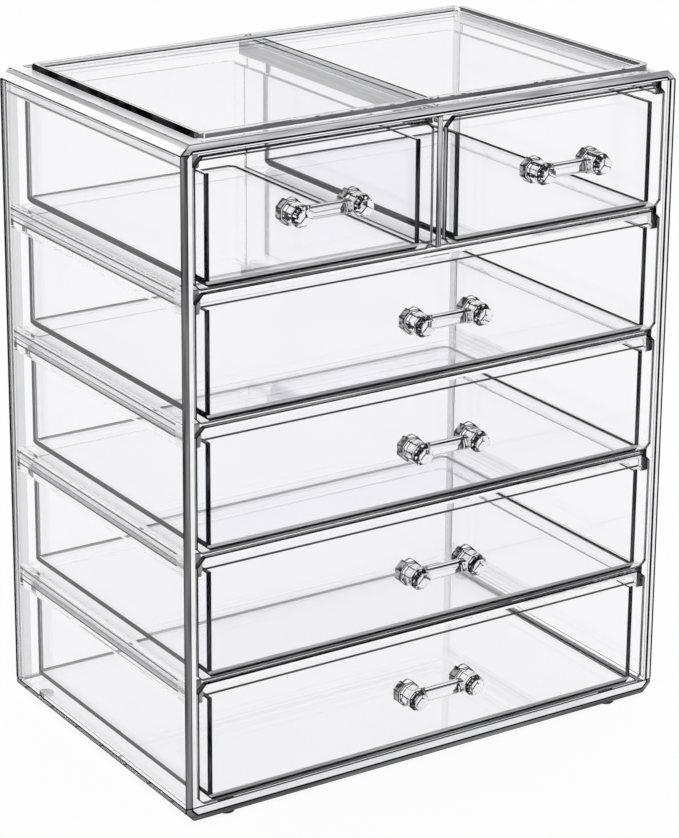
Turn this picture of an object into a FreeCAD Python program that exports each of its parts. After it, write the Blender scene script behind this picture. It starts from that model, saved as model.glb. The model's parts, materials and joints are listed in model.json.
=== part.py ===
import FreeCAD, Part
import math
import os
import Sketcher

# Clear acrylic make-up organizer: a case with five tiers, two small drawers side by side in the
# top tier and four full-width drawers below them. Every drawer is an open tray behind a thick
# front plate, with a pull made of two eight-sided posts and a round bar. A raised rim on the top
# panel makes it a shallow tray, and the case stands on four small feet.
# Millimetres. +X is to the right seen from the front, +Y to the back, +Z up. The origin is the
# middle of the bounding box's underside: under the feet, halfway from the pulls to the back.

doc = FreeCAD.newDocument("makeup_organizer")
sizes = doc.addObject("Spreadsheet::Sheet", "sizes")

VALUES = [
    # the case
    ("case_width", 232.0),
    ("case_depth", 145.5),
    ("case_height", 275.0),
    ("side_thickness", 4.8),
    ("back_thickness", 2.4),
    ("top_thickness", 4.0),
    ("base_thickness", 6.2),
    ("corner_cut", 4.0),
    ("bevel_width", 2.7),
    ("bevel_depth", 0.6),
    # the film of cement between two bonded pieces
    ("bond", 0.05),
    # the shelves between the tiers, with a lip and two rails that hang under each
    ("tier_count", 5.0),
    ("shelf_setback", 3.2),
    ("shelf_thickness", 3.9),
    ("lip_drop", 3.4),
    ("lip_thickness", 2.4),
    ("rail_drop", 5.9),
    ("rail_width", 4.2),
    ("divider_thickness", 2.6),
    ("divider_setback", 0.4),
    # the raised rim on the top panel
    ("rim_side_inset", 9.7),
    ("rim_front_inset", 4.5),
    ("rim_back_inset", 6.5),
    ("rim_height", 2.4),
    ("rim_thickness", 3.0),
    ("rim_corner_cut", 3.0),
    # the drawers
    ("front_thickness", 2.8),
    ("front_side_gap", 0.8),
    ("front_lower_gap", 0.3),
    ("front_upper_gap", 1.0),
    ("divider_gap", 1.6),
    ("front_top_cut", 3.6),
    ("front_bottom_cut", 2.5),
    ("tray_inset", 5.2),
    ("tray_wall", 2.2),
    ("tray_floor", 2.6),
    ("tray_back_gap", 0.8),
    ("tray_top_gap", 0.9),
    ("tray_outer_cut", 3.0),
    ("tray_inner_cut", 2.4),
    ("tray_floor_chamfer", 2.0),
    # the pulls
    ("pull_spacing", 27.5),
    ("post_reach", 13.5),
    ("flange_width", 10.2),
    ("flange_thickness", 4.0),
    ("post_width", 8.6),
    ("post_tip_width", 6.0),
    ("post_tip_length", 2.6),
    ("bar_diameter", 6.0),
    ("bar_reach", 7.6),
    ("octagon_share", 0.29289),
    # the feet
    ("foot_diameter", 7.0),
    ("foot_height", 1.6),
    ("foot_chamfer", 0.4),
    ("front_foot_side", 21.0),
    ("front_foot_inset", 5.0),
    ("rear_foot_side", 9.0),
    ("rear_foot_inset", 16.0),
]
for row, (alias, value) in enumerate(VALUES, start=1):
    sizes.set("A%d" % row, alias)
    sizes.set("B%d" % row, str(value))
    sizes.setAlias("B%d" % row, alias)
doc.recompute()


def cell(text):
    """An expression on the sheet's cells, from the cells' plain names."""
    words = text.replace("(", "( ").replace(")", " )").split()
    names = {alias for alias, value in VALUES}
    return " ".join("sizes." + word if word in names else word for word in words)


# ---- distances that several pieces share ----
FRONT_Y = "(post_reach - case_depth) / 2"
INNER_WIDTH = "(case_width - 2 * side_thickness)"
INNER_DEPTH = "(case_depth - back_thickness)"
INNER_HEIGHT = "(case_height - top_thickness - base_thickness)"
TIER_PITCH = "(%s / tier_count)" % INNER_HEIGHT
FLOOR_Z = "(foot_height + base_thickness)"
SHELF_WIDTH = "(%s - 2 * bond)" % INNER_WIDTH
WIDE_FRONT = "(%s - 2 * front_side_gap)" % INNER_WIDTH
SMALL_FRONT = "((%s - divider_thickness - 2 * front_side_gap - 2 * divider_gap) / 2)" % INNER_WIDTH
FRONT_HEIGHT = "(%s - front_lower_gap - front_upper_gap)" % TIER_PITCH
TRAY_DEPTH = "(%s - front_thickness - bond - tray_back_gap)" % INNER_DEPTH
TRAY_HEIGHT = "(%s - front_lower_gap - shelf_thickness - lip_drop - tray_top_gap)" % TIER_PITCH

pieces = []


def place(piece, x, y, z):
    for axis, text in (("x", x), ("y", y), ("z", z)):
        piece.setExpression("Placement.Base." + axis, cell(text))


def new_body(label, x, y, z):
    """A body with its own label, placed by expressions on the sheet's cells."""
    body = doc.addObject("PartDesign::Body", label)
    body.Label = label
    place(body, x, y, z)
    return body


def new_box(label, corner, lengths):
    """A box by its lowest corner and its lengths along X, Y and Z."""
    box = doc.addObject("Part::Box", label)
    box.Label = label
    for side, text in zip(("Length", "Width", "Height"), lengths):
        box.setExpression(side, cell(text))
    place(box, *corner)
    return box


def plane(body, role):
    """One of the body's own origin planes."""
    return next(p for p in body.Origin.OriginFeatures if p.Role == role)


def new_sketch(body, name, role, offset=None):
    sketch = body.newObject("Sketcher::SketchObject", body.Label + "_" + name)
    sketch.AttachmentSupport = [(plane(body, role), "")]
    sketch.MapMode = "FlatFace"
    if offset is not None:
        sketch.setExpression("AttachmentOffset.Base.z", cell(offset))
    return sketch


def hold(sketch, kind, corner, text):
    """Fixes one coordinate of a corner: on the sketch's axis, or at a distance from it."""
    edge, end = corner
    if text == "0":
        axis = -2 if kind == "DistanceX" else -1
        sketch.addConstraint(Sketcher.Constraint("PointOnObject", edge, end, axis))
        return
    index = sketch.addConstraint(Sketcher.Constraint(kind, -1, 1, edge, end, 30.0))
    sketch.setExpression("Constraints[%d]" % index, cell(text))


def add_outline(sketch, corners):
    """A closed outline through corners whose coordinates are expressions."""
    count = len(corners)
    first = sketch.GeometryCount
    start = [
        FreeCAD.Vector(60 + 40 * math.cos(i * 2 * math.pi / count),
                       60 + 40 * math.sin(i * 2 * math.pi / count), 0)
        for i in range(count)
    ]
    for i in range(count):
        sketch.addGeometry(Part.LineSegment(start[i], start[(i + 1) % count]), False)
    for i in range(count):
        following = first + (i + 1) % count
        sketch.addConstraint(Sketcher.Constraint("Coincident", first + i, 2, following, 1))
    for i, (x, y) in enumerate(corners):
        hold(sketch, "DistanceX", (first + i, 1), x)
        hold(sketch, "DistanceY", (first + i, 1), y)


def add_circle(sketch, diameter, x, y):
    """A circle by its diameter, with its centre at expressions."""
    edge = sketch.addGeometry(Part.Circle(FreeCAD.Vector(30, 30, 0), FreeCAD.Vector(0, 0, 1), 5), False)
    index = sketch.addConstraint(Sketcher.Constraint("Diameter", edge, 10.0))
    sketch.setExpression("Constraints[%d]" % index, cell(diameter))
    hold(sketch, "DistanceX", (edge, 3), x)
    hold(sketch, "DistanceY", (edge, 3), y)


def block(x0, x1, y0, y1):
    """The corners of a rectangle."""
    return [(x0, y0), (x1, y0), (x1, y1), (x0, y1)]


def cut_block(x0, x1, y0, y1, low, high):
    """The corners of a rectangle whose lower and upper corners are cut at 45 degrees."""
    return [
        ("%s + %s" % (x0, low), y0), ("%s - %s" % (x1, low), y0),
        (x1, "%s + %s" % (y0, low)), (x1, "%s - %s" % (y1, high)),
        ("%s - %s" % (x1, high), y1), ("%s + %s" % (x0, high), y1),
        (x0, "%s - %s" % (y1, high)), (x0, "%s + %s" % (y0, low)),
    ]


def pad(body, sketch, length, reverse=False):
    feature = body.newObject("PartDesign::Pad", sketch.Label + "_pad")
    feature.Profile = sketch
    feature.Reversed = reverse
    feature.setExpression("Length", cell(length))
    sketch.Visibility = False
    return feature


def pad_outline(body, name, role, corners, length, reverse=False, offset=None):
    sketch = new_sketch(body, name, role, offset)
    add_outline(sketch, corners)
    return pad(body, sketch, length, reverse)


def chamfer(body, name, base, chosen, size):
    """Chamfers the base feature's edges that a test picks out."""
    doc.recompute()
    edges = ["Edge%d" % i for i, edge in enumerate(base.Shape.Edges, start=1) if chosen(edge.BoundBox)]
    if not edges:
        raise RuntimeError(body.Label + " has no edge for " + name)
    feature = body.newObject("PartDesign::Chamfer", body.Label + "_" + name)
    feature.Base = (base, edges)
    feature.setExpression("Size", cell(size))


# ---- the case's outer form, which the outer panels are cut from ----
def make_case_form():
    """A block with its four long edges cut, and a shallow slope round the edge of its front."""
    body = new_body("case_form", "0 - case_width / 2", FRONT_Y, "foot_height")
    outer = cut_block("0", "case_width", "0", "case_height", "corner_cut", "corner_cut")
    pad_outline(body, "rear_part", "XZ_Plane", outer, "case_depth - bevel_depth", True,
                "0 - bevel_depth")
    inner_cut = "(corner_cut - 0.5858 * bevel_width)"
    front = cut_block("bevel_width", "(case_width - bevel_width)", "bevel_width",
                      "(case_height - bevel_width)", inner_cut, inner_cut)
    root = new_sketch(body, "slope_root", "XZ_Plane", "0 - bevel_depth")
    add_outline(root, outer)
    face = new_sketch(body, "front_face", "XZ_Plane")
    add_outline(face, front)
    slope = body.newObject("PartDesign::AdditiveLoft", "case_form_slope")
    slope.Profile = root
    slope.Sections = [face]
    slope.Ruled = True
    return body


def cut_from_form(label, corner, lengths):
    """A panel: the part of the case's outer form that lies inside a box."""
    blank = new_box(label + "_blank", corner, lengths)
    panel = doc.addObject("Part::Common", label)
    panel.Label = label
    panel.Base = blank
    panel.Tool = case_form
    return panel


case_form = make_case_form()

# ---- side, base and back panels ----
pieces.append(cut_from_form(
    "side_panel_left", ("0 - case_width / 2", FRONT_Y, FLOOR_Z + " + bond"),
    ("side_thickness", "case_depth", INNER_HEIGHT + " - 2 * bond")))
pieces.append(cut_from_form(
    "side_panel_right", ("case_width / 2 - side_thickness", FRONT_Y, FLOOR_Z + " + bond"),
    ("side_thickness", "case_depth", INNER_HEIGHT + " - 2 * bond")))
pieces.append(cut_from_form(
    "base_panel", ("0 - case_width / 2", FRONT_Y, "foot_height"),
    ("case_width", "case_depth", "base_thickness")))
pieces.append(new_box(
    "back_panel",
    ("0 - %s / 2 + bond" % INNER_WIDTH, "%s + %s" % (FRONT_Y, INNER_DEPTH), FLOOR_Z + " + bond"),
    (INNER_WIDTH + " - 2 * bond", "back_thickness", INNER_HEIGHT + " - 2 * bond")))


# ---- top panel, with two rails and a lip in two halves under it ----
def make_top_panel():
    """The lip is in two halves, so that the divider between the small drawers passes it."""
    underside = "(foot_height + case_height - top_thickness)"
    plate = cut_from_form("top_plate", ("0 - case_width / 2", FRONT_Y, underside),
                          ("case_width", "case_depth", "top_thickness"))
    parts = [plate]
    half_lip = "(%s - divider_thickness) / 2 - rail_width - 2 * bond" % INNER_WIDTH
    edge_y = FRONT_Y + " + shelf_setback"
    rail = ("rail_width", INNER_DEPTH + " - shelf_setback - bond", "rail_drop")
    lip = (half_lip, "lip_thickness", "lip_drop")
    left = "0 - %s / 2 + bond" % INNER_WIDTH
    right = INNER_WIDTH + " / 2 - rail_width - bond"
    rail_z = underside + " - rail_drop"
    lip_z = underside + " - lip_drop"
    parts.append(new_box("top_rail_left", (left, edge_y, rail_z), rail))
    parts.append(new_box("top_rail_right", (right, edge_y, rail_z), rail))
    parts.append(new_box("top_lip_left", (left + " + rail_width", edge_y, lip_z), lip))
    parts.append(new_box("top_lip_right", ("divider_thickness / 2 + bond", edge_y, lip_z), lip))
    panel = doc.addObject("Part::MultiFuse", "top_panel")
    panel.Label = "top_panel"
    panel.Shapes = parts
    panel.Refine = True
    return panel


pieces.append(make_top_panel())


# ---- shelves ----
def make_shelf(number, row):
    """A plate between the side panels, over its two rails and the lip behind its front edge."""
    body = new_body(
        "shelf_%d" % number, "0 - %s / 2" % SHELF_WIDTH, FRONT_Y + " + shelf_setback",
        "%s + %d * %s - shelf_thickness - rail_drop" % (FLOOR_Z, row, TIER_PITCH))
    inner_right = SHELF_WIDTH + " - rail_width"
    top = "rail_drop + shelf_thickness"
    section = [("0", "0"), ("rail_width", "0"), ("rail_width", "rail_drop"),
               (inner_right, "rail_drop"), (inner_right, "0"), (SHELF_WIDTH, "0"),
               (SHELF_WIDTH, top), ("0", top)]
    pad_outline(body, "section", "XZ_Plane", section, INNER_DEPTH + " - shelf_setback - bond", True)
    lip = block("rail_width", inner_right, "rail_drop - lip_drop", "rail_drop")
    pad_outline(body, "lip", "XZ_Plane", lip, "lip_thickness", True)
    return body


for number, row in ((1, 4), (2, 3), (3, 2), (4, 1)):
    pieces.append(make_shelf(number, row))

# ---- divider between the two small drawers ----
pieces.append(new_box(
    "divider",
    ("0 - divider_thickness / 2", FRONT_Y + " + divider_setback",
     "%s + (tier_count - 1) * %s + bond" % (FLOOR_Z, TIER_PITCH)),
    ("divider_thickness", INNER_DEPTH + " - divider_setback - bond", TIER_PITCH + " - 2 * bond")))


# ---- raised rim on the top panel ----
def make_tray_rim():
    """An eight-sided frame, with both its outlines cut at the corners."""
    body = new_body("tray_rim", "0 - case_width / 2 + rim_side_inset",
                    FRONT_Y + " + rim_front_inset", "foot_height + case_height + bond")
    width = "(case_width - 2 * rim_side_inset)"
    depth = "(case_depth - rim_front_inset - rim_back_inset)"
    inner_cut = "(rim_corner_cut - 0.5858 * rim_thickness)"
    sketch = new_sketch(body, "frame", "XY_Plane")
    add_outline(sketch, cut_block("0", width, "0", depth, "rim_corner_cut", "rim_corner_cut"))
    add_outline(sketch, cut_block(
        "rim_thickness", "(%s - rim_thickness)" % width, "rim_thickness",
        "(%s - rim_thickness)" % depth, inner_cut, inner_cut))
    pad(body, sketch, "rim_height - bond")
    return body


pieces.append(make_tray_rim())


# ---- feet ----
def make_foot(label, x, y):
    """A small round foot under the base, with its lower edge chamfered."""
    body = new_body(label, x, y, "0")
    sketch = new_sketch(body, "disc", "XY_Plane")
    add_circle(sketch, "foot_diameter", "0", "0")
    disc = pad(body, sketch, "foot_height - bond")
    chamfer(body, "lower_edge", disc, lambda box: box.ZMax < 0.01, "foot_chamfer")
    return body


for side, sign in (("left", "0 -"), ("right", "0 +")):
    for end, y in (("front", FRONT_Y + " + front_foot_inset"),
                   ("rear", FRONT_Y + " + case_depth - rear_foot_inset")):
        x = "%s (case_width / 2 - %s_foot_side)" % (sign, end)
        pieces.append(make_foot("foot_%s_%s" % (end, side), x, y))


# ---- drawers ----
def make_tray(name, width, centre, floor_z):
    """The open box of a drawer: a floor, two sides and a back. The front plate closes it."""
    tray_width = "(%s - 2 * tray_inset)" % width
    body = new_body(name + "_tray", "%s - %s / 2" % (centre, tray_width),
                    FRONT_Y + " + front_thickness + bond", floor_z)
    floor = [("0", "0"), (tray_width, "0"), (tray_width, TRAY_DEPTH + " - tray_outer_cut"),
             (tray_width + " - tray_outer_cut", TRAY_DEPTH), ("tray_outer_cut", TRAY_DEPTH),
             ("0", TRAY_DEPTH + " - tray_outer_cut")]
    inner_back = TRAY_DEPTH + " - tray_wall"
    walls = [("0", "0"), ("tray_wall", "0"), ("tray_wall", inner_back + " - tray_inner_cut"),
             ("tray_wall + tray_inner_cut", inner_back),
             (tray_width + " - tray_wall - tray_inner_cut", inner_back),
             (tray_width + " - tray_wall", inner_back + " - tray_inner_cut"),
             (tray_width + " - tray_wall", "0")] + floor[1:]
    pad_outline(body, "floor", "XY_Plane", floor, "tray_floor")
    box = pad_outline(body, "walls", "XY_Plane", walls, TRAY_HEIGHT)
    chamfer(body, "lower_edge", box, lambda bound: bound.ZMax < 0.01 and bound.YMax > 0.01,
            "tray_floor_chamfer")
    return body


def make_front(name, width, centre, floor_z):
    """The front plate, which laps over the edges of its tray and of the shelf above it."""
    body = new_body(name + "_front", "%s - %s / 2" % (centre, width), FRONT_Y, floor_z)
    outline = cut_block("0", width, "0", FRONT_HEIGHT, "front_bottom_cut", "front_top_cut")
    pad_outline(body, "outline", "XZ_Plane", outline, "front_thickness", True)
    return body


def octagon(width):
    """A regular octagon with two flats level, centred in the flange's square."""
    low = "((flange_width - %s) / 2)" % width
    high = "((flange_width + %s) / 2)" % width
    cut = "(octagon_share * %s)" % width
    return cut_block(low, high, low, high, cut, cut)


def make_post(label, x, middle_z):
    """One post of a pull: a flange on the front plate, an eight-sided shank and a sloped tip."""
    body = new_body(label, "%s - flange_width / 2" % x, FRONT_Y + " - bond",
                    "%s - flange_width / 2" % middle_z)
    pad_outline(body, "flange", "XZ_Plane", octagon("flange_width"), "flange_thickness")
    shank_end = "post_reach - bond - post_tip_length"
    pad_outline(body, "shank", "XZ_Plane", octagon("post_width"),
                shank_end + " - flange_thickness", False, "flange_thickness")
    root = new_sketch(body, "tip_root", "XZ_Plane", shank_end)
    add_outline(root, octagon("post_width"))
    end = new_sketch(body, "tip_end", "XZ_Plane", "post_reach - bond")
    add_outline(end, octagon("post_tip_width"))
    tip = body.newObject("PartDesign::AdditiveLoft", label + "_tip")
    tip.Profile = root
    tip.Sections = [end]
    tip.Ruled = True
    return body


def make_bar(name, centre, middle_z):
    """The round bar between the facing flats of the two posts."""
    body = new_body(name + "_pull_bar", "%s - pull_spacing / 2 + post_width / 2 + bond" % centre,
                    FRONT_Y + " - bar_reach", middle_z)
    sketch = new_sketch(body, "round", "YZ_Plane")
    add_circle(sketch, "bar_diameter", "0", "0")
    pad(body, sketch, "pull_spacing - post_width - 2 * bond")
    return body


def make_drawer(name, width, centre, row):
    floor_z = "(%s + %d * %s + front_lower_gap)" % (FLOOR_Z, row, TIER_PITCH)
    middle_z = "(%s + %s / 2)" % (floor_z, FRONT_HEIGHT)
    pieces.append(make_tray(name, width, centre, floor_z))
    pieces.append(make_front(name, width, centre, floor_z))
    pieces.append(make_post(name + "_pull_post_left", centre + " - pull_spacing / 2", middle_z))
    pieces.append(make_post(name + "_pull_post_right", centre + " + pull_spacing / 2", middle_z))
    pieces.append(make_bar(name, centre, middle_z))


small_centre = "(divider_thickness / 2 + divider_gap + %s / 2)" % SMALL_FRONT
make_drawer("drawer_top_left", SMALL_FRONT, "(0 - %s)" % small_centre, 4)
make_drawer("drawer_top_right", SMALL_FRONT, small_centre, 4)
for number, row in ((2, 3), (3, 2), (4, 1), (5, 0)):
    make_drawer("drawer_%d" % number, WIDE_FRONT, "0", row)

# ---- checks, then one file for each piece ----
doc.recompute()
for item in doc.Objects:
    if "Invalid" in item.State or "Error" in item.State:
        raise RuntimeError("%s failed: %s" % (item.Label, item.State))
for piece in pieces:
    shape = piece.Shape
    if shape.isNull() or not shape.isValid() or len(shape.Solids) != 1:
        raise RuntimeError(piece.Label + " is not one valid solid")
os.makedirs("parts", exist_ok=True)
for piece in pieces:
    piece.Shape.exportStep("parts/%s.step" % piece.Label)
print(len(pieces), "pieces written")
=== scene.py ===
import json
import math

import bmesh
import bpy
from mathutils import Euler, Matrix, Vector

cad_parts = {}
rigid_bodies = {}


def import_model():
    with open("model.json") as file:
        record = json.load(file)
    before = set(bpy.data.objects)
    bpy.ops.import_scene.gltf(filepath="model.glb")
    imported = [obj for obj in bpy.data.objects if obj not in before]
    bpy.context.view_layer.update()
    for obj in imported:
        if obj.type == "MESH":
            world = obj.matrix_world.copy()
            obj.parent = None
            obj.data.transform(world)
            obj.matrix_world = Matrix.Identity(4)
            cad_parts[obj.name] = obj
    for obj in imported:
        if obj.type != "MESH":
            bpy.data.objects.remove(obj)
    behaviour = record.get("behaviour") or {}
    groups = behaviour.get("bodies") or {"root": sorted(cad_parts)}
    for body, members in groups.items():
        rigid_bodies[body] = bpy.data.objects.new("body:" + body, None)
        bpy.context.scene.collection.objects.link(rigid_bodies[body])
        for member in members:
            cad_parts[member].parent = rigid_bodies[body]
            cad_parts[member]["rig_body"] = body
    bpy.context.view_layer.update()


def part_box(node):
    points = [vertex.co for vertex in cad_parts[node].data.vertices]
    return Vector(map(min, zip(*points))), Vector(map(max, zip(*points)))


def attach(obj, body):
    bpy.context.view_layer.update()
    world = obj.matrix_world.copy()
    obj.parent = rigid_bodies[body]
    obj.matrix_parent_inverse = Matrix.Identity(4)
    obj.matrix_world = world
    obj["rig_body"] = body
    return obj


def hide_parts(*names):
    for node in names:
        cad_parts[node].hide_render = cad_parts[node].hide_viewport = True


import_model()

scene = bpy.context.scene

# ---------------------------------------------------------------------------------------------
# Base panel. A sheet of clear cast acrylic, sawn to size, with its two long edges cut at 45
# degrees and a shallow slope milled along its front edge. The side and back panels stand on it.
# ---------------------------------------------------------------------------------------------
ACRYLIC_INDEX = 1.49
SURFACE_SHEEN = (0.05, 0.05, 0.05, 1)
ROUGH_SPREAD = 0.4


def new_material(name):
    """A material with an empty node tree and one shader on its output."""
    material = bpy.data.materials.new(name)
    material.use_nodes = True
    nodes = material.node_tree.nodes
    nodes.clear()
    output = nodes.new("ShaderNodeOutputMaterial")
    shader = nodes.new("ShaderNodeBsdfPrincipled")
    material.node_tree.links.new(shader.outputs["BSDF"], output.inputs["Surface"])
    return material, shader


def streaks(material, stretch, dark, light, contrast, detail):
    """A colour that varies over the piece: noise drawn out along its length, between two shades.

    The contrast is where in the noise the dark shade ends and the light one begins."""
    nodes, links = material.node_tree.nodes, material.node_tree.links
    coords = nodes.new("ShaderNodeTexCoord")
    scale = nodes.new("ShaderNodeMapping")
    scale.inputs["Scale"].default_value = stretch
    noise = nodes.new("ShaderNodeTexNoise")
    noise.inputs["Scale"].default_value = 1.0
    noise.inputs["Detail"].default_value = detail
    ramp = nodes.new("ShaderNodeValToRGB")
    for element, position, shade in zip(ramp.color_ramp.elements, contrast, (dark, light)):
        element.position = position
        element.color = (*shade, 1)
    links.new(coords.outputs["Object"], scale.inputs["Vector"])
    links.new(scale.outputs["Vector"], noise.inputs["Vector"])
    links.new(noise.outputs["Fac"], ramp.inputs["Fac"])
    return ramp.outputs["Color"], noise.outputs["Fac"]


def clear_sheet(name, dark, light, roughness=0.0, stretch=(14, 14, 14), contrast=(0.3, 0.7)):
    """Clear acrylic, with the faint lavender grey that the sheet has in its depth. On the lid, the
    trays' cut corners and the posts' patches the tint is painted shade and light.
    """
    material, shader = new_material(name)
    colour, noise = streaks(material, stretch, dark, light, contrast, detail=1.0)
    material.node_tree.links.new(colour, shader.inputs["Base Color"])
    shader.inputs["Transmission Weight"].default_value = 1.0
    shader.inputs["Roughness"].default_value = roughness
    shader.inputs["IOR"].default_value = ACRYLIC_INDEX
    shader.inputs["Specular Tint"].default_value = SURFACE_SHEEN
    return material


def streaked_paint(name, stretch, dark, light, roughness=0.35, specular=0.0, contrast=(0.35, 0.65)):
    """Painted shade on the narrow faces of an edge, which turn the light away and look dark and
    streaky; in white, painted light.
    """
    material, shader = new_material(name)
    colour, noise = streaks(material, stretch, dark, light, contrast, detail=3.0)
    links = material.node_tree.links
    links.new(colour, shader.inputs["Base Color"])
    rough = material.node_tree.nodes.new("ShaderNodeMapRange")
    rough.inputs["To Min"].default_value = roughness * (1 - ROUGH_SPREAD)
    rough.inputs["To Max"].default_value = roughness * (1 + ROUGH_SPREAD)
    links.new(noise, rough.inputs["Value"])
    links.new(rough.outputs["Result"], shader.inputs["Roughness"])
    shader.inputs["Specular IOR Level"].default_value = specular
    return material


# The places of the finishes in a piece's list. CLEAR and LINE are first in every list, and the
# faces that the broken edges leave start out as LINE.
# LINE and SOFT are mostly near-black and grey lines of painted shade, SLOPE is streaked painted
# shade on a slope, and the fifth place is an opaque white, painted light that stands in for light
# through a clear edge.
CLEAR, LINE, SLOPE, SOFT, PAINTED_LIGHT = range(5)
SAME_PLACE = 1e-6
SAME_PLANE = math.radians(1)
SHARP_ANGLE = math.radians(10)


def cut(work, arris, choose, planes):
    """Break every sharp edge of a form, part its faces along the planes, and give them finishes.

    choose(normal, centre, broken) gives the place in the piece's list of the finish of a face,
    and each plane is a point and a normal, so that a finish can end there."""
    sharp = [edge for edge in work.edges
             if len(edge.link_faces) == 2 and edge.calc_face_angle(0) > SHARP_ANGLE]
    bmesh.ops.bevel(work, geom=sharp, offset=arris, offset_type="OFFSET", segments=1,
                    profile=0.5, affect="EDGES", clamp_overlap=True, material=LINE)
    for point, across in planes:
        bmesh.ops.bisect_plane(work, geom=work.verts[:] + work.edges[:] + work.faces[:],
                               dist=SAME_PLACE, plane_co=point, plane_no=across)
    work.normal_update()
    for face in work.faces:
        face.material_index = choose(face.normal, face.calc_center_median(),
                                     face.material_index == LINE)


def place(work, name, finishes, node, in_its_place=True):
    """Turn a form into a piece that rides with a CAD node, in the node's place or beside it."""
    mesh = bpy.data.meshes.new(name)
    for finish in finishes:
        mesh.materials.append(finish)
    work.to_mesh(mesh)
    work.free()
    piece = bpy.data.objects.new(name, mesh)
    scene.collection.objects.link(piece)
    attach(piece, bpy.data.objects[node]["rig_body"])
    if in_its_place:
        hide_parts(node)


def machine(node, arris, finishes, choose, planes=()):
    """A machined piece in place of a CAD node: the same shape, with every sharp edge broken."""
    work = bmesh.new()
    work.from_mesh(bpy.data.objects[node].data)
    bmesh.ops.remove_doubles(work, verts=work.verts, dist=SAME_PLACE)
    bmesh.ops.dissolve_limit(work, angle_limit=SAME_PLANE, verts=work.verts, edges=work.edges)
    for face in work.faces:
        face.smooth = False
        face.material_index = CLEAR
    cut(work, arris, choose, planes)
    place(work, node + "_piece", finishes, node)


# How far a normal reaches along an axis: all the way, nearly, or at least partly.
SQUARE, MOSTLY, PARTLY = 0.995, 0.9, 0.3


def tilted(normal):
    """True on a face that lies along none of the three axes."""
    return max(abs(part) for part in normal) < SQUARE


CASE_ARRIS = 0.0004
# A face whose middle lies within NEAR of one side of a piece belongs to the edge there.
NEAR = 0.001
UNDER_EDGE = 0.002
FRONT_EDGE = 0.003
SHEET_DARK = (0.976, 0.975, 0.984)
SHEET_LIGHT = (0.982, 0.981, 0.989)
case_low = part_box("base_panel")[0]
case_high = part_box("side_panel_right")[1]
case_sheet = clear_sheet("case_sheet", dark=SHEET_DARK, light=SHEET_LIGHT)
# Painted shade and light on the edges: near-black and grey lines where the clear edges turn the
# light away, dark streaks on the milled slope, and an opaque white that stands in for light
# through a clear edge.
case_line = streaked_paint("case_line", stretch=(30, 30, 30),
                        dark=(0.003, 0.003, 0.004), light=(0.02, 0.02, 0.023))
soft_line = streaked_paint("soft_line", stretch=(25, 25, 25),
                        dark=(0.16, 0.16, 0.17), light=(0.38, 0.38, 0.40))
slope_base = streaked_paint("slope_base", stretch=(22, 400, 500), dark=(0.05, 0.05, 0.055),
                         light=(0.22, 0.22, 0.23), roughness=0.2, specular=0.3)
painted_light_white = streaked_paint("painted_light_white", stretch=(60, 60, 60), dark=(0.84, 0.84, 0.85),
                         light=(0.97, 0.97, 0.975), roughness=0.2, specular=0.5)


def case_face(normal, centre, broken):
    """Painted shade on the outer edges and on the streaked slope round the front, and painted
    light on the white flat inside the slope.
    """
    if broken:
        outside = abs(centre.x) > case_high.x - NEAR or centre.z < case_low.z + UNDER_EDGE
        return LINE if outside or centre.y < case_low.y + FRONT_EDGE else CLEAR
    if tilted(normal):
        return SLOPE if normal.y < -MOSTLY else PAINTED_LIGHT
    return PAINTED_LIGHT if abs(normal.y) > MOSTLY else CLEAR


machine("base_panel", CASE_ARRIS,
        [case_sheet, case_line, slope_base, soft_line, painted_light_white], case_face)

# ---------------------------------------------------------------------------------------------
# Side panels. Two sheets of the same acrylic, cemented between the base and the top. Their front
# edges carry the milled slope on, painted with dark streaks of shade; the flat beside it is flame
# polished and painted white, for the light that comes through it.
# ---------------------------------------------------------------------------------------------
# The width of the strip of painted shade along the left rear edge.
BACK_STRIP = 0.0017
SLOPE_WIDTH = 0.0027
SLOPE_LINE = 0.0011
# Painted shade: dark streaks on the milled slope of the left front edge.
slope_upright = streaked_paint("slope_upright", stretch=(500, 400, 16), dark=(0.02, 0.02, 0.021),
                            light=(0.24, 0.24, 0.245), roughness=0.2, specular=0.1)


def side_face(normal, centre, broken):
    """As the base, with a strip of painted shade along the left rear edge, and the right one left
    pale with painted light.

    At the right front edge the slope is polished and painted white, for light, between two dark
    lines of painted shade."""
    inset = case_high.x - abs(centre.x)
    if centre.x > 0 and centre.y > case_high.y - NEAR:
        return PAINTED_LIGHT if normal.y > MOSTLY else CLEAR
    if centre.x < 0 and centre.y > case_high.y - BACK_STRIP:
        return LINE if inset < NEAR else CLEAR
    if centre.x > 0 and centre.y < case_low.y + FRONT_EDGE:
        if inset < SLOPE_LINE or SLOPE_WIDTH < inset < SLOPE_WIDTH + SLOPE_LINE:
            return LINE
        return PAINTED_LIGHT if normal.y < -MOSTLY else CLEAR
    if broken and inset > SLOPE_WIDTH + NEAR:
        return CLEAR
    return case_face(normal, centre, broken)


def upright(across):
    """A plane along the case to part faces along, at a distance from its middle."""
    return (across, 0, 0), (1, 0, 0)


def crosswise(back):
    """A plane across the case to part faces along."""
    return (0, back, 0), (0, 1, 0)


side_planes = [upright(end * (case_high.x - inset)) for end in (-1, 1)
               for inset in (SLOPE_LINE, SLOPE_WIDTH, SLOPE_WIDTH + SLOPE_LINE)]
for side in ("left", "right"):
    machine("side_panel_" + side, CASE_ARRIS,
            [case_sheet, case_line, slope_upright, soft_line, painted_light_white], side_face,
            side_planes + [crosswise(case_high.y - BACK_STRIP)])

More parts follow.
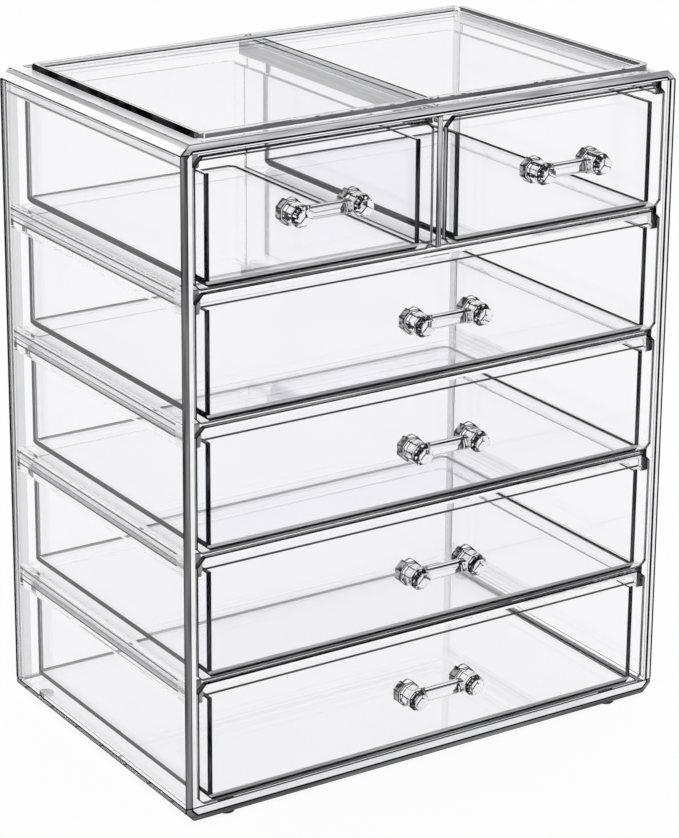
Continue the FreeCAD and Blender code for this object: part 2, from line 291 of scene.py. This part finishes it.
# ---------------------------------------------------------------------------------------------
# Back panel. A thinner sheet let in between the sides and cemented all round. The cement has
# crept a little way in from its two ends and left a hazy band there.
# ---------------------------------------------------------------------------------------------
BACK_ARRIS = 0.0003
BACK_CEMENT, BACK_HAZE = 2, 3
HAZE_BAND = 0.0046
back_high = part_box("back_panel")[1]
cement = clear_sheet("cement", dark=(0.97, 0.97, 0.975), light=(0.995, 0.995, 0.998),
                     roughness=0.25)
haze = clear_sheet("haze", dark=(0.48, 0.48, 0.50), light=(0.56, 0.56, 0.58), roughness=0.05)


def back_face(normal, centre, broken):
    """Clear, with cemented ends and a hazy band beside each."""
    if abs(normal.x) > PARTLY:
        return BACK_CEMENT
    beside = abs(centre.x) > back_high.x - HAZE_BAND
    return BACK_HAZE if beside and normal.y < -MOSTLY else CLEAR


machine("back_panel", BACK_ARRIS, [case_sheet, soft_line, cement, haze],
        back_face, [upright(end * (back_high.x - HAZE_BAND)) for end in (-1, 1)])

# ---------------------------------------------------------------------------------------------
# Shelves. Four moulded plates that part the tiers. Under each hang two rails, which steady the
# trays, and a lip close behind the drawer fronts.
# ---------------------------------------------------------------------------------------------
SHELF_ARRIS = 0.00045
LIP_REACH = 0.003
LIP_END = 0.006
RAIL_WIDTH = 0.0042
PLATE_DEPTH = 0.0045
CEMENT, RAIL_END = 5, 6
# Each line of painted shade at the left joint: where it starts and ends below the upper face, and
# its finish.
JOINT_SHADE_LINES = ((0.0009, 0.0015, LINE), (0.0036, 0.0041, SOFT), (0.0057, 0.0064, LINE))
JOINT_DEPTH = JOINT_SHADE_LINES[-1][1]
# Painted shade: grey streaks on the left rail ends and the lid's front slope, and near-black on
# the right rail ends.
slope_across = streaked_paint("slope_across", stretch=(22, 400, 260), dark=(0.20, 0.20, 0.21),
                           light=(0.72, 0.72, 0.74), roughness=0.2, specular=0.3)
rail_end = streaked_paint("rail_end", stretch=(260, 400, 260), dark=(0.003, 0.003, 0.003),
                       light=(0.10, 0.10, 0.105), roughness=0.15, specular=0.4,
                       contrast=(0.45, 0.7))


def level(height):
    """A level plane to part faces along."""
    return (0, 0, height), (0, 0, 1)


def joint_shade_line(centre, high, lines):
    """The finish of the painted shade line at the joint that a spot at the left end lies in, or
    None.
    """
    for first, last, finish in lines:
        if centre.x < 0 and first < high.z - centre.z < last:
            return finish
    return None


def joint_planes(low, high, lines):
    """The planes of the painted shade lines at the joints: level, over the rails' inner faces, and
    behind the lip.
    """
    inner = high.x - RAIL_WIDTH
    return ([upright(inner), upright(-inner), crosswise(low.y + LIP_END)]
            + [level(high.z - drop) for line in lines for drop in line[:2]])


def shelf_finish(low, high):
    """The finish of a shelf's faces: clear, with fine lines of painted shade at the joint along
    its left end, and painted shade on the rail ends, the front edge and the lip's edges.
    """
    def shelf_face(normal, centre, broken):
        drop = high.z - centre.z
        if broken:
            if drop < NEAR and centre.y < low.y + NEAR:
                return SOFT
            lip = centre.y < low.y + LIP_REACH and drop > PLATE_DEPTH
            return SOFT if lip and abs(centre.x) < high.x - RAIL_WIDTH else CLEAR
        if abs(centre.x) > high.x - NEAR and abs(normal.x) > MOSTLY:
            if centre.y < low.y + LIP_END:
                return CEMENT
            if drop > JOINT_DEPTH:
                return CLEAR
            line = joint_shade_line(centre, high, JOINT_SHADE_LINES)
            return CEMENT if line is None else line
        at_rail = abs(centre.x) > high.x - RAIL_WIDTH
        if normal.y < -MOSTLY and centre.y < low.y + NEAR and at_rail:
            return RAIL_END if centre.x > 0 else SLOPE
        return CLEAR
    return shelf_face


for number in range(1, 5):
    shelf = "shelf_%d" % number
    low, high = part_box(shelf)
    machine(shelf, SHELF_ARRIS,
            [case_sheet, case_line, slope_across, soft_line, painted_light_white, cement, rail_end],
            shelf_finish(low, high), joint_planes(low, high, JOINT_SHADE_LINES))

# ---------------------------------------------------------------------------------------------
# Top panel. The lid of the case, moulded in one with the rails and the lip of the top tier.
# Its long edges are cut at 45 degrees and flame polished. The cut faces are painted grey with
# shade along their upper band and white with light below it, and the lid's top beside the rim and
# its front and back faces are painted white with light too.
# ---------------------------------------------------------------------------------------------
TOP_PLATE = 0.0041
LID_LIP_REACH = 0.006
LID_LIP_END = 0.012
# Lines of painted shade at the left joints of the lid's rails.
TOP_LINES = ((0.0056, 0.0060, SOFT), (0.0086, 0.0090, SOFT))
CHAMFER_GREY, LID_SHADE_LINE = 7, 8
CHAMFER_BAND = 0.0015
RIM_WALL = 0.0028
# Where the two lines of painted shade over the divider start and end across the lid.
LID_SHADE_LINES = ((-0.0023, -0.0013), (0.0028, 0.0040))
top_low, top_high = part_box("top_panel")
rim_low, rim_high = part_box("tray_rim")
rail_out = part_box("shelf_1")[1].x
shade_line_start, shade_line_end = rim_low.y + RIM_WALL, rim_high.y - RIM_WALL
# Painted shade: the lid's clear sheet is tinted darker than the others, its cut edges are grey
# along their upper band, and two near-black lines lie on its top over the divider.
lid_sheet_shaded = clear_sheet("lid_sheet_shaded", dark=(0.905, 0.905, 0.925), light=(0.93, 0.93, 0.948))
chamfer_grey = streaked_paint("chamfer_grey", stretch=(300, 12, 400), dark=(0.30, 0.30, 0.31),
                           light=(0.62, 0.62, 0.64), roughness=0.3, specular=0.2)
lid_shade_line = streaked_paint("lid_shade_line", stretch=(30, 22, 30), dark=(0.003, 0.003, 0.004),
                        light=(0.09, 0.09, 0.095), roughness=0.3, contrast=(0.42, 0.7))


def top_broken(normal, centre, drop):
    """The finish of the lid's broken edges."""
    if drop < NEAR:
        return SOFT if abs(normal.y) > PARTLY else CLEAR
    if drop < TOP_PLATE + NEAR:
        outside = abs(centre.x) > rail_out + NEAR or centre.y < top_low.y + NEAR
        return LINE if outside else CLEAR
    lip = centre.y < top_low.y + LID_LIP_REACH
    return SOFT if lip and abs(centre.x) < rail_out - NEAR else CLEAR


def top_face(normal, centre, broken):
    """The finish of the lid's faces, with their painted shade and light: the plate down to
    TOP_PLATE, and the rails under it.
    """
    drop = top_high.z - centre.z
    if broken:
        return top_broken(normal, centre, drop)
    if drop > TOP_PLATE and abs(centre.x) > rail_out - NEAR and abs(normal.x) > MOSTLY:
        line = joint_shade_line(centre, top_high, TOP_LINES)
        return CEMENT if line is None or centre.y < top_low.y + LID_LIP_END else line
    if drop > TOP_PLATE and normal.y < -MOSTLY and abs(centre.x) > rail_out - RAIL_WIDTH:
        return RAIL_END if centre.x > 0 else SLOPE
    if tilted(normal):
        if normal.y < -MOSTLY:
            return SLOPE
        return CHAMFER_GREY if drop < CHAMFER_BAND else PAINTED_LIGHT
    if normal.z > MOSTLY and abs(centre.x) > rim_high.x:
        return PAINTED_LIGHT
    if normal.z > MOSTLY and drop < NEAR and shade_line_start < centre.y < shade_line_end:
        if any(first < centre.x < last for first, last in LID_SHADE_LINES):
            return LID_SHADE_LINE
    return PAINTED_LIGHT if abs(normal.y) > MOSTLY and drop < TOP_PLATE else CLEAR


# The lid reaches out past its rails, so their lines of painted shade at the joints are measured
# from the rails' corner.
rail_corner = Vector((rail_out, 0, top_high.z))
machine("top_panel", CASE_ARRIS,
        [lid_sheet_shaded, case_line, slope_across, soft_line, painted_light_white, cement, rail_end,
         chamfer_grey, lid_shade_line], top_face,
        joint_planes(top_low, rail_corner, TOP_LINES)
        + [level(top_high.z - CHAMFER_BAND), upright(rim_high.x), upright(-rim_high.x),
           crosswise(shade_line_start), crosswise(shade_line_end)]
        + [upright(edge) for joint in LID_SHADE_LINES for edge in joint])

# ---------------------------------------------------------------------------------------------
# Divider. A thin sheet between the two small drawers, cemented to the shelf and the lid. Its front
# edge is sawn, and painted with dark and grey streaks of shade.
# ---------------------------------------------------------------------------------------------
DIVIDER_ARRIS = 0.0003
DIVIDER_LINE = 0.0007
STREAKED = 2
divider_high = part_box("divider")[1]
divider_end = streaked_paint("divider_end", stretch=(900, 400, 20), dark=(0.03, 0.03, 0.033),
                          light=(0.62, 0.62, 0.64), roughness=0.2, specular=0.3,
                          contrast=(0.4, 0.6))


def divider_face(normal, centre, broken):
    """Clear, with a sawn front edge painted with streaks of shade, dark lines of painted shade on
    its front edges, and a fine dark line along the joint with the lid.
    """
    if centre.z > divider_high.z - DIVIDER_LINE and abs(normal.x) > PARTLY:
        return LINE
    if broken:
        return LINE if centre.y < 0 else SOFT
    return STREAKED if normal.y < -MOSTLY else CLEAR


machine("divider", DIVIDER_ARRIS,
        [case_sheet, case_line, divider_end, soft_line], divider_face,
        [level(divider_high.z - DIVIDER_LINE)])

# ---------------------------------------------------------------------------------------------
# Divider rails. A square rail of acrylic on each side of the divider, cemented under the lid,
# which steadies the inner sides of the two small trays. Its outer face is opaque, streaked grey.
# ---------------------------------------------------------------------------------------------
RAIL_CLEARANCE = 0.00005
DIVIDER_RAIL = 0.0042
RAIL_BACK = 0.004
rail_streaked_grey = streaked_paint("rail_streaked_grey", stretch=(300, 9, 420), dark=(0.42, 0.42, 0.43),
                        light=(0.95, 0.95, 0.955), roughness=0.3, specular=0.2,
                        contrast=(0.40, 0.62))


def rail_face(normal, centre, broken):
    """Clear, with grey lines of painted shade on its broken edges and a streaked grey outer face.
    """
    if broken:
        return LINE
    return STREAKED if abs(normal.x) > MOSTLY and normal.x * centre.x > 0 else CLEAR


rail_x = (divider_high.x + RAIL_CLEARANCE, divider_high.x + DIVIDER_RAIL)
rail_y = (top_low.y + LID_LIP_END, top_high.y - RAIL_BACK)
rail_z = (top_low.z, top_high.z - TOP_PLATE - RAIL_CLEARANCE)
for end, side in ((-1, "left"), (1, "right")):
    work = bmesh.new()
    bmesh.ops.create_cube(work, size=1)
    for vertex in work.verts:
        x, y, z = vertex.co
        vertex.co = (end * rail_x[end * x > 0], rail_y[y > 0], rail_z[z > 0])
    cut(work, DIVIDER_ARRIS, rail_face, planes=())
    place(work, "divider_rail_" + side, [case_sheet, soft_line, rail_streaked_grey],
          "divider", in_its_place=False)

# ---------------------------------------------------------------------------------------------
# Tray rim. A low frame cemented on the lid. Its outer walls are left as the saw leaves them, and
# carry painted shade: almost black on the left wall, grey on the right wall and the front.
# ---------------------------------------------------------------------------------------------
RIM_ARRIS = 0.0003
RIM_BAND = 0.0012
RIM_LINE = 0.0008
HALFWAY = 0.5
CORNER_BIAS = 0.1
RIM_SIDE, RIM_FRONT, RIM_GREY = 2, 3, 4
rim_side = streaked_paint("rim_side", stretch=(300, 90, 160), dark=(0.002, 0.002, 0.002),
                       light=(0.05, 0.05, 0.05), roughness=0.4, contrast=(0.45, 0.75))
rim_front = streaked_paint("rim_front", stretch=(20, 300, 300), dark=(0.08, 0.08, 0.085),
                        light=(0.26, 0.26, 0.27), roughness=0.15, specular=0.2)
rim_grey = streaked_paint("rim_grey", stretch=(40, 60, 160), dark=(0.20, 0.20, 0.21),
                       light=(0.45, 0.45, 0.47), roughness=0.15, specular=0.2)


def rim_face(normal, centre, broken):
    """Painted shade: black at the left, grey at the right and the front, and a dark line at the
    foot of the rear wall.
    """
    inward = centre.x * normal.x < 0 and abs(normal.x) > HALFWAY
    if broken:
        if inward and normal.z > HALFWAY:
            return LINE
        if centre.x < rim_low.x + NEAR:
            return RIM_SIDE
        return RIM_GREY if centre.y > rim_high.y - NEAR else CLEAR
    if normal.z > HALFWAY:
        return RIM_SIDE if centre.x < rim_low.x + RIM_BAND else CLEAR
    if normal.z < -HALFWAY:
        return CLEAR
    if abs(normal.x) > abs(normal.y) + CORNER_BIAS:
        if inward:
            return CLEAR
        return RIM_SIDE if normal.x < 0 else RIM_GREY
    if centre.y < 0:
        return RIM_FRONT if normal.y < 0 else CLEAR
    return LINE if normal.y < 0 and centre.z < rim_low.z + RIM_LINE else CLEAR


machine("tray_rim", RIM_ARRIS,
        [case_sheet, case_line, rim_side, rim_front, rim_grey], rim_face,
        [upright(rim_low.x + RIM_BAND), level(rim_low.z + RIM_LINE)])

# ---------------------------------------------------------------------------------------------
# Feet. Four small discs of rubber, stuck under the base near its corners: a black pair at the
# front and a translucent pair at the rear.
# ---------------------------------------------------------------------------------------------
FOOT_ARRIS = 0.0002
foot_black = streaked_paint("foot_black", stretch=(900, 900, 900), dark=(0.006, 0.006, 0.007),
                         light=(0.05, 0.05, 0.055), roughness=0.6, specular=0.2)
foot_rubber = clear_sheet("foot_rubber", dark=(0.40, 0.40, 0.41), light=(0.58, 0.58, 0.59),
                          roughness=0.15)


def foot_face(normal, centre, broken):
    """One rubber all over."""
    return LINE if broken else CLEAR


for end, rubber in (("front", foot_black), ("rear", foot_rubber)):
    for side in ("left", "right"):
        machine("foot_%s_%s" % (end, side), FOOT_ARRIS, [rubber, rubber], foot_face)

# ---------------------------------------------------------------------------------------------
# Drawer trays. Each is moulded in one: a floor, two sides and a back, with cut corners. The front
# plate is cemented over the open front, whose end is painted as a dark streaked band of shade.
# ---------------------------------------------------------------------------------------------
DRAWERS = ("drawer_top_left", "drawer_top_right", "drawer_2", "drawer_3", "drawer_4", "drawer_5")
DRAWER_ARRIS = 0.0004
TRAY_FLOOR = 0.0026
FLOOR_DARK = 0.0014
TRAY_CORNER = 0.0045
TRAY_CUT = 0.0030
# These two give how far the painted shade reaches up from the left keel, and forward from the left
# rear corner.
KEEL_BAND = 0.0011
UPRIGHT_BAND = 0.0028
END, TRAY_LINE, CUT, KEEL, FLOOR_END = 2, 3, 4, 5, 6
tray_sheet = clear_sheet("tray_sheet", dark=SHEET_DARK, light=SHEET_LIGHT)
# Painted shade: a dark streaked front end, grey-tinted cut corners, grey rear chamfers and a black
# keel; the floor's front end is painted pale, for light.
tray_end = streaked_paint("tray_end", stretch=(600, 400, 40), dark=(0.003, 0.003, 0.004),
                       light=(0.13, 0.13, 0.135), roughness=0.4, contrast=(0.46, 0.72))
tray_line = streaked_paint("tray_line", stretch=(40, 40, 40),
                        dark=(0.42, 0.42, 0.43), light=(0.62, 0.62, 0.63))
tray_cut = clear_sheet("tray_cut", dark=(0.10, 0.10, 0.105), light=(0.42, 0.42, 0.43))
tray_keel = streaked_paint("tray_keel", stretch=(500, 24, 900), dark=(0.001, 0.001, 0.0015),
                        light=(0.10, 0.10, 0.105), roughness=0.4, contrast=(0.42, 0.7))
floor_end = streaked_paint("floor_end", stretch=(12, 400, 700), dark=(0.62, 0.62, 0.63),
                        light=(0.97, 0.97, 0.975), roughness=0.2, specular=0.1,
                        contrast=(0.44, 0.58))


def tray_finish(low, high):
    """The finish of a tray's faces: painted shade on the front end, the cut corners, the rear
    chamfer and the keel and rear corner at the left, and painted light on the floor's front end.
    """
    def tray_face(normal, centre, broken):
        left = centre.x < low.x + TRAY_CORNER
        if left and normal.x < -PARTLY:
            if abs(normal.z) < PARTLY and centre.y > high.y - TRAY_CUT - UPRIGHT_BAND:
                return LINE
            if centre.z < low.z + TRAY_CUT + KEEL_BAND:
                return KEEL
        if normal.y > PARTLY and normal.z < -PARTLY and not left:
            return TRAY_LINE
        if centre.y < low.y + NEAR and (broken or normal.y < -MOSTLY):
            if centre.z < low.z + FLOOR_DARK:
                return LINE
            return END if centre.z > low.z + TRAY_FLOOR else FLOOR_END
        if broken:
            keel = centre.z < low.z + TRAY_CUT and centre.x > high.x - TRAY_CORNER
            return LINE if keel and abs(normal.z) > PARTLY else CLEAR
        return CUT if tilted(normal) and abs(normal.z) > PARTLY else CLEAR
    return tray_face


for drawer in DRAWERS:
    tray = drawer + "_tray"
    low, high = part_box(tray)
    machine(tray, DRAWER_ARRIS,
            [tray_sheet, case_line, tray_end, tray_line, tray_cut, tray_keel, floor_end],
            tray_finish(low, high),
            [level(low.z + TRAY_FLOOR), level(low.z + FLOOR_DARK),
             level(low.z + TRAY_CUT + KEEL_BAND),
             crosswise(high.y - TRAY_CUT - UPRIGHT_BAND)])

# ---------------------------------------------------------------------------------------------
# Drawer fronts. A thick plate for each drawer, with cut corners and finely broken edges. The
# narrow faces all round are sawn, and painted with streaks of shade and light that show in the
# depth of the plate; the upper cut corners are painted black with shade.
# ---------------------------------------------------------------------------------------------
UNDER, FRONT_SIDE, FRONT_CORNER, FRONT_SOFT = 2, 3, 4, 5
UNDER_DARK = 0.0017
front_under = streaked_paint("front_under", stretch=(16, 300, 300), dark=(0.30, 0.30, 0.31),
                          light=(0.85, 0.85, 0.86), roughness=0.2, specular=0.3,
                          contrast=(0.4, 0.6))
front_side = streaked_paint("front_side", stretch=(500, 500, 25), dark=(0.12, 0.12, 0.13),
                         light=(0.85, 0.85, 0.86), roughness=0.2, specular=0.3,
                         contrast=(0.4, 0.6))
front_corner = streaked_paint("front_corner", stretch=(300, 300, 300), dark=(0.004, 0.004, 0.004),
                           light=(0.10, 0.10, 0.10), roughness=0.2, specular=0.3)
front_pale = streaked_paint("front_pale", stretch=(300, 300, 25), dark=(0.35, 0.35, 0.36),
                         light=(0.80, 0.80, 0.81), roughness=0.2, specular=0.3)


def front_finish(low, high):
    """The finish of a front's faces: fine dark edges of painted shade, soft and paler at the
    right, and sawn edges painted with streaks of shade and light.
    """
    def front_face(normal, centre, broken):
        if broken:
            if normal.z < -PARTLY and normal.y > PARTLY:
                return UNDER
            right = centre.x > high.x - NEAR and abs(normal.z) < PARTLY
            return FRONT_SOFT if right else LINE
        if tilted(normal):
            return FRONT_CORNER if normal.z > 0 else UNDER
        if normal.z < -MOSTLY:
            return LINE if centre.y < low.y + UNDER_DARK else UNDER
        return FRONT_SIDE if abs(normal.x) > MOSTLY else CLEAR
    return front_face


for drawer in DRAWERS:
    front = drawer + "_front"
    low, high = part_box(front)
    machine(front, DRAWER_ARRIS,
            [tray_sheet, case_line, front_under, front_side, front_corner, front_pale],
            front_finish(low, high), [crosswise(low.y + UNDER_DARK)])

# ---------------------------------------------------------------------------------------------
# Pulls. Two eight-sided posts of cut acrylic, cemented to the front by their flanges, hold a thick
# round bar between them. The black and white patches that the cut facets break the light into are
# painted on the posts as light and shade.
# ---------------------------------------------------------------------------------------------
POST_ARRIS = 0.00025
POST_PATCH, POST_DARK = 2, 3
# These three are distances from the face of the front plate.
FLANGE_END = 0.0042
TIP_START = 0.0108
TIP_END = 0.0122
SLIGHTLY = 0.2
post_clear = clear_sheet("post_clear", dark=(0.93, 0.93, 0.935), light=(0.985, 0.985, 0.985))
post_patch = clear_sheet("post_patch", dark=(0.02, 0.02, 0.02), light=(0.97, 0.97, 0.97),
                         stretch=(420, 420, 420), contrast=(0.36, 0.46))
post_patch.node_tree.nodes["Color Ramp"].color_ramp.interpolation = "EASE"
post_dark = streaked_paint("post_dark", stretch=(500, 500, 500), dark=(0.01, 0.01, 0.011),
                        light=(0.60, 0.60, 0.61), roughness=0.12, specular=0.5,
                        contrast=(0.44, 0.60))


def post_finish(low, high):
    """The finish of a post's faces: painted shade on the flange at the left, and painted patches
    of light and shade at the tip.
    """
    def post_face(normal, centre, broken):
        reach = high.y - centre.y
        if broken:
            facet = abs(normal.y) > SLIGHTLY and reach < TIP_END
            return LINE if reach < FLANGE_END or facet else CLEAR
        if reach < FLANGE_END and normal.x < -PARTLY and abs(normal.y) < PARTLY:
            return POST_DARK
        if normal.y < -MOSTLY and reach > TIP_START:
            return CLEAR
        if reach > TIP_START or abs(normal.x) > MOSTLY:
            return POST_PATCH
        return CLEAR
    return post_face


BAR_SIDES = 40
BAR_RINGS = 12
BAR_FIT = 0.98
BAR_LINE, BAR_GREY, BAR_PALE = 1, 2, 3
# The finish of the lengthways strips that aren't clear, counted from the top to the front: lines
# of painted shade and a pale grey band.
BAR_STRIPS = {0: BAR_GREY, 3: BAR_LINE, 4: BAR_GREY, 14: BAR_PALE}
bar_line = streaked_paint("bar_line", stretch=(60, 500, 500),
                       dark=(0.006, 0.006, 0.006), light=(0.05, 0.05, 0.05))
bar_grey = streaked_paint("bar_grey", stretch=(60, 500, 500),
                       dark=(0.05, 0.05, 0.05), light=(0.35, 0.35, 0.36))
bar_pale = streaked_paint("bar_pale", stretch=(60, 500, 500),
                       dark=(0.45, 0.45, 0.46), light=(0.70, 0.70, 0.71))


def make_bar(drawer):
    """A round bar, with fine lengthways lines and a pale grey band of painted shade."""
    node = drawer + "_pull_bar"
    low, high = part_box(node)
    middle = (low + high) / 2
    radius = (high.z - low.z) / 2 * BAR_FIT
    turns = [2 * math.pi * side / BAR_SIDES for side in range(BAR_SIDES)]
    work = bmesh.new()
    rings = [[work.verts.new((low.x + ring / BAR_RINGS * (high.x - low.x),
                              middle.y - radius * math.sin(turn),
                              middle.z + radius * math.cos(turn))) for turn in turns]
             for ring in range(BAR_RINGS + 1)]
    for first, second in zip(rings, rings[1:]):
        for strip in range(BAR_SIDES):
            after = (strip + 1) % BAR_SIDES
            face = work.faces.new((first[strip], first[after], second[after], second[strip]))
            face.material_index = BAR_STRIPS.get(strip, CLEAR)
            face.smooth = True
    work.faces.new(rings[0])
    work.faces.new(list(reversed(rings[-1])))
    bmesh.ops.recalc_face_normals(work, faces=work.faces)
    place(work, node + "_piece", [post_clear, bar_line, bar_grey, bar_pale], node)


for drawer in DRAWERS:
    for side in ("left", "right"):
        post = "%s_pull_post_%s" % (drawer, side)
        machine(post, POST_ARRIS,
                [post_clear, case_line, post_patch, post_dark], post_finish(*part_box(post)))
    make_bar(drawer)

# ---------------------------------------------------------------------------------------------
# Table top. A plain pale surface that the organizer stands on. It is white to the eye and in
# the acrylic, and keeps the shadow.
# ---------------------------------------------------------------------------------------------
TABLE_HALF = 8.0
TABLE_WHITE_SHARE = 0.94
TABLE_SHADE = (0.88, 0.88, 0.88, 1)
TABLE_ROUGHNESS = 0.7


def seen(nodes, links):
    """1 for a ray from the camera, a mirror or clear acrylic, and 0 for the light's own rays."""
    path = nodes.new("ShaderNodeLightPath")
    value = path.outputs["Is Camera Ray"]
    for ray in ("Is Glossy Ray", "Is Transmission Ray"):
        either = nodes.new("ShaderNodeMath")
        either.operation = "MAXIMUM"
        links.new(value, either.inputs[0])
        links.new(path.outputs[ray], either.inputs[1])
        value = either.outputs["Value"]
    return value


table_material, table_shader = new_material("table_white")
table_shader.inputs["Base Color"].default_value = TABLE_SHADE
table_shader.inputs["Roughness"].default_value = TABLE_ROUGHNESS
nodes, links = table_material.node_tree.nodes, table_material.node_tree.links
glow = nodes.new("ShaderNodeEmission")
blend = nodes.new("ShaderNodeMixShader")
share = nodes.new("ShaderNodeMath")
share.operation = "MULTIPLY"
share.inputs[1].default_value = TABLE_WHITE_SHARE
links.new(seen(nodes, links), share.inputs[0])
links.new(share.outputs["Value"], blend.inputs["Fac"])
links.new(table_shader.outputs["BSDF"], blend.inputs[1])
links.new(glow.outputs["Emission"], blend.inputs[2])
links.new(blend.outputs["Shader"], nodes["Material Output"].inputs["Surface"])

table_mesh = bpy.data.meshes.new("table_top")
table_mesh.from_pydata([(x * TABLE_HALF, y * TABLE_HALF, 0)
                        for x, y in ((-1, -1), (1, -1), (1, 1), (-1, 1))], [], [(0, 1, 2, 3)])
table_mesh.materials.append(table_material)
table = bpy.data.objects.new("table_top", table_mesh)
scene.collection.objects.link(table)

# ---------------------------------------------------------------------------------------------
# Light. A white studio tent all round, and one large soft lamp above that gives the shadow.
# ---------------------------------------------------------------------------------------------
world = bpy.data.worlds.new("white_tent")
scene.world = world
world.use_nodes = True
background = world.node_tree.nodes["Background"]
background.inputs["Color"].default_value = (1, 1, 1, 1)
background.inputs["Strength"].default_value = 1.0

lamp_data = bpy.data.lights.new("soft_lamp", "AREA")
lamp_data.shape = "RECTANGLE"
lamp_data.size = 1.2
lamp_data.size_y = 1.2
lamp_data.energy = 3.0
lamp = bpy.data.objects.new("soft_lamp", lamp_data)
lamp.location = (-0.5, -0.3, 1.6)
lamp.rotation_euler = (-lamp.location).to_track_quat("-Z", "Y").to_euler()
scene.collection.objects.link(lamp)

# Clear acrylic needs long light paths: light runs inside a sheet from one edge to the other.
PATHS = 64
SEE_THROUGH = 16
scene.cycles.max_bounces = PATHS
scene.cycles.transmission_bounces = PATHS
scene.cycles.glossy_bounces = PATHS
scene.cycles.transparent_max_bounces = SEE_THROUGH

# ---------------------------------------------------------------------------------------------
# Camera. It stands to the left of the front, a little above the lid, with a long lens.
# ---------------------------------------------------------------------------------------------
camera_data = bpy.data.cameras.new("camera")
camera_data.sensor_width = 36.0
camera_data.lens = 128.92
camera_data.shift_x = 0.08
camera_data.shift_y = -0.15
camera_data.clip_start = 0.05
camera_data.clip_end = 40.0
camera = bpy.data.objects.new("camera", camera_data)
camera.location = (-0.6474, -0.9835, 0.5572)
camera.rotation_euler = Euler((1.2632, -0.0005, -0.5564), "XYZ")
scene.collection.objects.link(camera)
scene.camera = camera
scene.view_settings.view_transform = "Standard"
